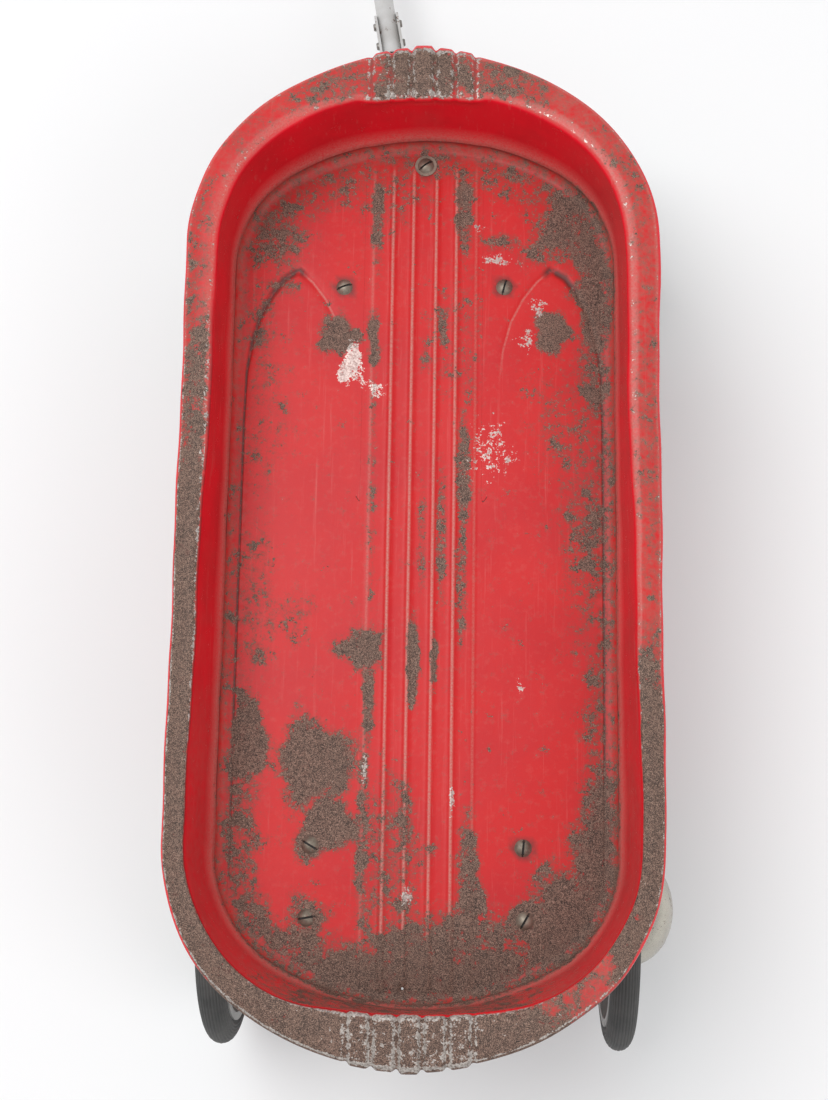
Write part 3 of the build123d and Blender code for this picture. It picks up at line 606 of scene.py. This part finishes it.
cloud = grained(tree, where, 14.0, 6.0, 0.6)
mottle = grained(tree, where, 150.0, 5.0, 0.65)
speck = grained(tree, where, 620.0, 3.0, 0.6)
streaked = add_node(tree, "ShaderNodeMapping", {"Vector": where, "Scale": (260.0, 9.0, 60.0)}).outputs[0]
streak = grained(tree, streaked, 1.0, 6.0, 0.7)
chalk_and_sheen_level, dusted = tub_mark("chalk"), tub_mark("dust")
# The wall takes a deep glossy red; the floor and lip take a duller red of faded paint, with painted sheen.
coat = blended(tree, chalk_and_sheen_level, (0.74, 0.008, 0.022, 1), (0.560, 0.013, 0.014, 1))
deeper = figure(tree, "MULTIPLY", ramped(tree, cloud, 0.42, 0.66), 0.45)
coat = blended(tree, deeper, coat, (0.44, 0.010, 0.017, 1))
# A pale pink haze over the floor and lip: chalky paint and painted sheen.
haze = figure(tree, "MULTIPLY", ramped(tree, mottle, 0.52, 0.80), figure(tree, "MULTIPLY", chalk_and_sheen_level, 0.28))
coat = blended(tree, haze, coat, (0.60, 0.12, 0.10, 1))
scratch = figure(tree, "MULTIPLY", ramped(tree, streak, 0.58, 0.74), 0.34)
coat = blended(tree, scratch, coat, (0.62, 0.16, 0.14, 1))
scale = add_node(tree, "ShaderNodeGroup", {}, node_tree=rust_group)
tree.links.new(tub_mark("rust"), scale.inputs["Amount"])
powder = figure(tree, "MULTIPLY", dusted, ramped(tree, mottle, 0.30, 0.62))
coat = blended(tree, figure(tree, "MULTIPLY", powder, 0.85), coat, (0.36, 0.135, 0.105, 1))
coat = blended(tree, scale.outputs["Haze"], coat, (0.150, 0.066, 0.048, 1))
sideways = figure(tree, "ABSOLUTE", add_node(tree, "ShaderNodeSeparateXYZ", {0: where}).outputs[0])
# Pale lines on the ribs' crests and the middle band's steps: part worn chalky paint, part painted highlight
# on their lit tops.
rib_glint_and_wear = None
for middle, strength in ((0.0105, 1.0), (0.029, 1.0), (0.047, 0.45)):
    away = figure(tree, "ABSOLUTE", figure(tree, "SUBTRACT", sideways, middle))
    this_rib_glint_and_wear = figure(tree, "MULTIPLY", line_at(away, 0.0004, 0.0019), strength)
    rib_glint_and_wear = figure(tree, "MAXIMUM", rib_glint_and_wear, this_rib_glint_and_wear) if rib_glint_and_wear else this_rib_glint_and_wear
rib_glint_and_wear = figure(tree, "MULTIPLY", rib_glint_and_wear, tub_mark("ribbed"))
# The arch's outer leg is darkened along its crease line.
arch_far = figure(tree, "ABSOLUTE", figure(tree, "MULTIPLY_ADD", tub_mark("arch"), 0.04, -0.02))
arch_share = tub_mark("arch_share")
broad = figure(tree, "MULTIPLY_ADD", ramped(tree, arch_share, 0.66, 0.82), 0.0032, 0.0016)
crease = figure(tree, "SUBTRACT", 1.0, ramped(tree, figure(tree, "DIVIDE", arch_far, broad), 0.25, 1.0))
outer_leg = ramped(tree, arch_share, 0.845, 0.835)
outer_leg = figure(tree, "MULTIPLY", ramped(tree, arch_share, 0.04, 0.10), outer_leg)
crease = figure(tree, "MULTIPLY", crease, outer_leg)
inner_leg = ramped(tree, arch_share, 1.0, 0.93)
inner_leg = figure(tree, "MULTIPLY", ramped(tree, arch_share, 0.835, 0.85), inner_leg)
inner_leg = figure(tree, "MULTIPLY", inner_leg, 0.7)
inner_line = figure(tree, "MULTIPLY", line_at(arch_far, 0.0003, 0.0014), inner_leg)
# All pale crest lines, mixed in pale pink below: worn paint and painted highlights.
all_crest_glint_and_wear = figure(tree, "MAXIMUM", figure(tree, "MAXIMUM", rib_glint_and_wear, inner_line), tub_mark("crest"))
all_crest_glint_and_wear = figure(tree, "MULTIPLY", all_crest_glint_and_wear, ramped(tree, speck, 0.18, 0.62))
coat = blended(tree, figure(tree, "MULTIPLY", all_crest_glint_and_wear, 0.80), coat, (0.52, 0.24, 0.20, 1))
# Darkening from the marks above and the arch's crease: painted shade under the bead, under the lip's inner
# edge and hem and round the drain, and darker grooves, screw rings and crease line.
dirt_and_shade = figure(tree, "MAXIMUM", tub_mark("grime"), crease)
dirt_and_shade = figure(tree, "MULTIPLY", dirt_and_shade, ramped(tree, mottle, 0.22, 0.46))
coat = blended(tree, figure(tree, "MULTIPLY", dirt_and_shade, 0.9), coat, (0.075, 0.030, 0.026, 1))
coat = blended(tree, scale.outputs["Mask"], coat, scale.outputs["Colour"])
# Worn steel shows where the coat is rubbed, and along the lip's bends and groove flanks as painted
# highlights.
rub_and_glint_level = figure(tree, "MULTIPLY_ADD", figure(tree, "SUBTRACT", mottle, 0.5), 1.7, tub_mark("bare"))
rub_and_glint_level = figure(tree, "MULTIPLY_ADD", figure(tree, "SUBTRACT", speck, 0.5), 1.0, rub_and_glint_level)
rub_and_glint = ramped(tree, rub_and_glint_level, 0.50, 0.58)
worn_steel = blended(tree, ramped(tree, speck, 0.40, 0.62), (0.26, 0.23, 0.21, 1), (0.56, 0.52, 0.48, 1))
coat = blended(tree, figure(tree, "MULTIPLY", rub_and_glint, 0.86), coat, worn_steel)
tree.links.new(coat, shader.inputs["Base Color"])
shader.inputs["Specular IOR Level"].default_value = 0.28
rough = add_node(tree, "ShaderNodeMapRange", {0: chalk_and_sheen_level, 1: 0.0, 2: 1.0, 3: 0.26, 4: 0.42}).outputs[0]
rough = figure(tree, "MULTIPLY_ADD", scale.outputs["Mask"], 0.18, rough)
rough = figure(tree, "MULTIPLY_ADD", scale.outputs["Haze"], 0.10, rough)
rough = figure(tree, "SUBTRACT", rough, figure(tree, "MULTIPLY", rub_and_glint, 0.10))
tree.links.new(rough, shader.inputs["Roughness"])
tree.links.new(figure(tree, "MULTIPLY", rub_and_glint, 0.35), shader.inputs["Metallic"])
relief = figure(tree, "MULTIPLY", scale.outputs["Mask"], 0.7)
relief = figure(tree, "SUBTRACT", scale.outputs["Height"], relief)
relief = figure(tree, "MULTIPLY_ADD", cloud, 2.0, relief)
relief = figure(tree, "MULTIPLY_ADD", mottle, 0.25, relief)
relief = figure(tree, "MULTIPLY_ADD", crease, -1.2, relief)
bump = add_node(tree, "ShaderNodeBump", {"Strength": 0.4, "Distance": 0.0007, "Height": relief})
tree.links.new(bump.outputs["Normal"], shader.inputs["Normal"])
tub_mesh.materials.append(red)
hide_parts("tub")
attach(tub, "wagon")

# The running gear under the tub: folded plates, legs and a drawbar of black enamelled steel, plain
# steel axles with spacers, washers and cotter pins, and old plated nuts.


def weathered(name, light, dark, rusting, gloss, metal=0.0, fine=120.0):
    """A coat that varies between two colours, with rust scale breaking through and near-black painted shade
    in screw slots.
    """
    material = bpy.data.materials.new(name)
    material.use_nodes = True
    tree = material.node_tree
    shader = tree.nodes["Principled BSDF"]
    where = add_node(tree, "ShaderNodeTexCoord").outputs["Object"]
    cloud = grained(tree, where, fine / 5, 6.0, 0.65)
    speck = grained(tree, where, fine * 5, 3.0, 0.6)
    coat = blended(tree, ramped(tree, cloud, 0.32, 0.68), light, dark)
    coat = blended(tree, figure(tree, "MULTIPLY", ramped(tree, speck, 0.55, 0.75), 0.35), coat, dark)
    scale = add_node(tree, "ShaderNodeGroup", {"Amount": rusting}, node_tree=rust_group)
    coat = blended(tree, scale.outputs["Mask"], coat, scale.outputs["Colour"])
    # Near black where a piece marks its screw slot: painted shade.
    slot_shade = add_node(tree, "ShaderNodeAttribute", attribute_name="slot_shade").outputs["Fac"]
    coat = blended(tree, slot_shade, coat, (0.012, 0.010, 0.009, 1))
    tree.links.new(coat, shader.inputs["Base Color"])
    rough = figure(tree, "MULTIPLY_ADD", speck, 0.25, gloss)
    rough = figure(tree, "MULTIPLY_ADD", scale.outputs["Mask"], 0.3, rough)
    tree.links.new(rough, shader.inputs["Roughness"])
    clean = figure(tree, "SUBTRACT", 1.0, scale.outputs["Mask"])
    tree.links.new(figure(tree, "MULTIPLY", clean, metal), shader.inputs["Metallic"])
    relief = figure(tree, "MULTIPLY_ADD", cloud, 0.6, scale.outputs["Height"])
    bump = add_node(tree, "ShaderNodeBump", {"Strength": 0.25, "Distance": 0.0005, "Height": relief})
    tree.links.new(bump.outputs["Normal"], shader.inputs["Normal"])
    return material


def finish_nodes(material, slot, *names):
    """Gives CAD nodes a material; the slot argument is not used."""
    for name in names:
        node = nodes[name]
        node.data.materials.clear()
        node.data.materials.append(material)


black = weathered("black_enamel", (0.028, 0.027, 0.026, 1), (0.060, 0.056, 0.052, 1), 0.34, 0.38)
steel = weathered("plain_steel", (0.42, 0.41, 0.39, 1), (0.20, 0.18, 0.16, 1), 0.34, 0.34, 0.75)
old_steel = weathered("old_steel", (0.34, 0.30, 0.24, 1), (0.13, 0.11, 0.085, 1), 0.34, 0.36, 0.6, 300.0)
ends, hands = ("front", "rear"), ("left", "right")
finish_nodes(black, "black_enamel", "front_plate", "rear_plate", "turning_plate", "drawbar")
finish_nodes(black, "black_enamel", *[f"{end}_leg_{hand}" for end in ends for hand in hands])
finish_nodes(black, "black_enamel", "drawbar_brace_left", "drawbar_brace_right")
finish_nodes(steel, "plain_steel", "kingpin", "kingpin_washer", "kingpin_nut", "bearing_washer")
for end in ends:
    axle_parts = ("axle", "axle_spacers", "axle_washers", "cotter_pins")
    finish_nodes(steel, "plain_steel", *[f"{end}_{part}" for part in axle_parts])
finish_nodes(old_steel, "old_steel", "nose_screw_washer")
finish_nodes(old_steel, "old_steel", "front_nuts", "rear_nuts")

# The floor screws: seven round-headed slotted machine screws of dull plated steel, from above, their
# slots left at odd angles; the nose screw stands on a washer.
HEAD_RADIUS, HEAD_RISE, SHANK_RADIUS, SLOT_HALF, SLOT_DEEP = 0.0075, 0.0034, 0.0030, 0.0009, 0.0016


def screw_blank(name, length):
    """One slotted screw on the origin, head up, cut from a domed head and a shank."""
    ball = (HEAD_RADIUS**2 + HEAD_RISE**2) / (2 * HEAD_RISE)
    profile = [(0.0, HEAD_RISE)]
    for t in np.linspace(0.15, 1.0, 7):
        r = HEAD_RADIUS * t
        profile.append((r, HEAD_RISE - ball + math.sqrt(ball**2 - r**2)))
    profile[-1] = (HEAD_RADIUS, 0.0)
    profile += [(SHANK_RADIUS, 0.0), (SHANK_RADIUS, -length), (0.0, -length)]
    work = bmesh.new()
    loop = [work.verts.new((r, 0, z)) for r, z in profile]
    for a, b in zip(loop, loop[1:]):
        work.edges.new((a, b))
    whole = work.verts[:] + work.edges[:]
    bmesh.ops.spin(work, geom=whole, axis=(0, 0, 1), cent=(0, 0, 0), angle=2 * math.pi, steps=40)
    bmesh.ops.remove_doubles(work, verts=work.verts, dist=1e-6)
    bmesh.ops.recalc_face_normals(work, faces=work.faces)
    mesh = bpy.data.meshes.new(name)
    work.to_mesh(mesh)
    work.free()
    blank = bpy.data.objects.new(name, mesh)
    bpy.context.collection.objects.link(blank)
    knife_mesh = bpy.data.meshes.new(name + "_knife")
    work = bmesh.new()
    bmesh.ops.create_cube(work, size=1.0)
    bmesh.ops.scale(work, vec=(0.02, 2 * SLOT_HALF, 2 * SLOT_DEEP), verts=work.verts)
    bmesh.ops.translate(work, vec=(0, 0, HEAD_RISE), verts=work.verts)
    work.to_mesh(knife_mesh)
    work.free()
    knife = bpy.data.objects.new(name + "_knife", knife_mesh)
    bpy.context.collection.objects.link(knife)
    cut = blank.modifiers.new("slot", "BOOLEAN")
    cut.object, cut.operation, cut.solver = knife, "DIFFERENCE", "EXACT"
    slotted = bpy.data.meshes.new_from_object(blank.evaluated_get(bpy.context.evaluated_depsgraph_get()))
    blank.modifiers.clear()
    blank.data = slotted
    corners = [v.co for v in slotted.vertices]
    # The slot's floor is marked for near-black painted shade.
    slot_floor = HEAD_RISE - 0.8 * SLOT_DEEP
    slot_shade_marks = [float(abs(c.y) < SLOT_HALF * 1.01 and c.z < slot_floor) for c in corners]
    slotted.attributes.new("slot_shade", "FLOAT", "POINT").data.foreach_set("value", slot_shade_marks)
    slotted.shade_smooth()
    slotted.set_sharp_from_angle(angle=math.radians(35))
    bpy.data.objects.remove(knife)
    return blank


def seated(name, blank, seats, material):
    """Copies of a blank stood on seats of (x, y, z, turn in degrees), as one piece."""
    mesh = bpy.data.meshes.new(name)
    mesh.from_pydata([seat[:3] for seat in seats], [], [])
    turns = mesh.attributes.new("turn", "FLOAT_VECTOR", "POINT")
    turns.data.foreach_set("vector", [v for seat in seats for v in (0.0, 0.0, math.radians(seat[3]))])
    piece = bpy.data.objects.new(name, mesh)
    bpy.context.collection.objects.link(piece)
    made = bpy.data.node_groups.new(name + "_rows", "GeometryNodeTree")
    made.interface.new_socket("Geometry", in_out="INPUT", socket_type="NodeSocketGeometry")
    blank_in = made.interface.new_socket("Blank", in_out="INPUT", socket_type="NodeSocketObject")
    finish_in = made.interface.new_socket("Finish", in_out="INPUT", socket_type="NodeSocketMaterial")
    made.interface.new_socket("Geometry", in_out="OUTPUT", socket_type="NodeSocketGeometry")
    source, sink = made.nodes.new("NodeGroupInput"), made.nodes.new("NodeGroupOutput")
    info = add_node(made, "GeometryNodeObjectInfo", {"Object": source.outputs["Blank"]})
    turn = add_node(made, "GeometryNodeInputNamedAttribute", {"Name": "turn"}, data_type="FLOAT_VECTOR")
    sockets = {"Points": source.outputs["Geometry"], "Instance": info.outputs["Geometry"]}
    spread = add_node(made, "GeometryNodeInstanceOnPoints", sockets | {"Rotation": turn.outputs[0]})
    real = add_node(made, "GeometryNodeRealizeInstances", {"Geometry": spread.outputs["Instances"]})
    sockets = {"Geometry": real.outputs["Geometry"], "Material": source.outputs["Finish"]}
    coated = add_node(made, "GeometryNodeSetMaterial", sockets)
    made.links.new(coated.outputs["Geometry"], sink.inputs["Geometry"])
    rows_of = piece.modifiers.new("rows", "NODES")
    rows_of.node_group = made
    rows_of[blank_in.identifier] = blank
    rows_of[finish_in.identifier] = material
    solid = bpy.data.meshes.new_from_object(piece.evaluated_get(bpy.context.evaluated_depsgraph_get()))
    piece.modifiers.clear()
    piece.data = solid
    return piece


WASHER_RISE = 0.001
FRONT_SEATS = ((0, 0.3635, WASHER_RISE, 35), (-0.073, 0.2455, 0, 20), (0.073, 0.2455, 0, 75))
REAR_SEATS = ((-0.091, -0.257, 0, -30), (0.091, -0.257, 0, 85))
REAR_SEATS += ((-0.0925, -0.3175, 0, 10), (0.0925, -0.3175, 0, 60))
for name, seats in (("front_floor_screws", FRONT_SEATS), ("rear_floor_screws", REAR_SEATS)):
    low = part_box(name)[0]
    blank = screw_blank(name + "_blank", floor_z - low.z)
    placed_seats = [(x, y + tub_y, floor_z + rise, turn) for x, y, rise, turn in seats]
    piece = seated(name + "_set", blank, placed_seats, old_steel)
    bpy.data.objects.remove(blank)
    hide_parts(name)
    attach(piece, "wagon")

# The wheels: a pressed disc in pale grey enamel, a welded hub, a domed plated cap and a solid
# rubber tyre moulded with fine ribs round its tread and sides.
grey = weathered("grey_enamel", (0.40, 0.40, 0.39, 1), (0.30, 0.30, 0.285, 1), 0.30, 0.36)
nickel = weathered("nickel_plate", (0.52, 0.49, 0.42, 1), (0.36, 0.34, 0.30, 1), 0.28, 0.16, 0.9)
rubber = weathered("tyre_rubber", (0.040, 0.040, 0.039, 1), (0.078, 0.076, 0.072, 1), 0.0, 0.55)
joints = {joint["name"]: joint for joint in frame["joints"]}
SHOULDER = [(0.0125, 0.1088), (0.0125, 0.1125), (0.0119, 0.1165), (0.0104, 0.1203)]
SHOULDER += [(0.0080, 0.1236), (0.0045, 0.1261)]
SHOULDER = np.array(SHOULDER + [(0.0, 0.1270)] + [(-x, r) for x, r in SHOULDER[::-1]])
RIB_COUNT = 17
RIB_DEPTH = 0.0011
ROUND = 144
stations = np.concatenate([[0], np.cumsum(np.linalg.norm(np.diff(SHOULDER, axis=0), axis=1))])
section = []
for rib in range(RIB_COUNT):
    for phase, drop in ((0.0, 1.0), (0.22, 0.1), (0.5, 0.0), (0.78, 0.1)):
        at = stations[-1] * (rib + phase) / RIB_COUNT
        x, r = (np.interp(at, stations, SHOULDER[:, k]) for k in (0, 1))
        lean = np.array([x, r - 0.112])
        section.append(np.array([x, r]) - RIB_DEPTH * drop * lean / np.linalg.norm(lean))
GROOVE = 0.0106
section += [np.array(p) for p in ((-0.0125, 0.1088), (-GROOVE, 0.1064), (-GROOVE, 0.1009), (GROOVE, 0.1009))]
section += [np.array((GROOVE, 0.1064))]


def lathed(name, section, segments, centre, axis):
    """A closed section of (along, radius) turned about an axis through a centre."""
    axis = Vector(axis).normalized()
    across = Vector((0, 0, 1)).cross(axis).normalized()
    upward = axis.cross(across)
    points, faces = [], []
    for turn in range(segments):
        angle = 2 * math.pi * turn / segments
        spoke = across * math.cos(angle) + upward * math.sin(angle)
        points += [Vector(centre) + axis * x + spoke * r for x, r in section]
    count = len(section)
    for turn in range(segments):
        here, there = turn * count, (turn + 1) % segments * count
        for i in range(count):
            j = (i + 1) % count
            faces.append((here + i, here + j, there + j, there + i))
    mesh = bpy.data.meshes.new(name)
    mesh.from_pydata(points, [], faces)
    work = bmesh.new()
    work.from_mesh(mesh)
    bmesh.ops.recalc_face_normals(work, faces=work.faces)
    work.to_mesh(mesh)
    work.free()
    mesh.shade_smooth()
    piece = bpy.data.objects.new(name, mesh)
    bpy.context.collection.objects.link(piece)
    return piece


for end in ends:
    for hand in hands:
        stem = f"{end}_{hand}"
        finish_nodes(grey, "grey_enamel", f"{stem}_disc")
        finish_nodes(steel, "plain_steel", f"{stem}_hub")
        finish_nodes(nickel, "nickel_plate", f"{stem}_cap")
        spin = joints[f"{stem}_wheel_spin"]
        tyre = lathed(f"{stem}_ribbed_tyre", section, ROUND, spin["pos_m"], spin["axis"])
        tyre.data.materials.append(rubber)
        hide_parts(f"{stem}_tyre")
        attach(tyre, f"{stem}_wheel")

# The handle: an oval steel tube riveted between two pressed straps, its end bent into a grip loop,
# all sprayed silver, with a plain steel pivot bolt, nut and rivets.
silver = weathered("silver_paint", (0.66, 0.66, 0.655, 1), (0.50, 0.49, 0.47, 1), 0.24, 0.34, 0.35)
finish_nodes(silver, "silver_paint", "pole", "strap_left", "strap_right", "grip")
finish_nodes(steel, "plain_steel", "handle_rivets", "pivot_bolt", "pivot_nut")

low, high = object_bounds()
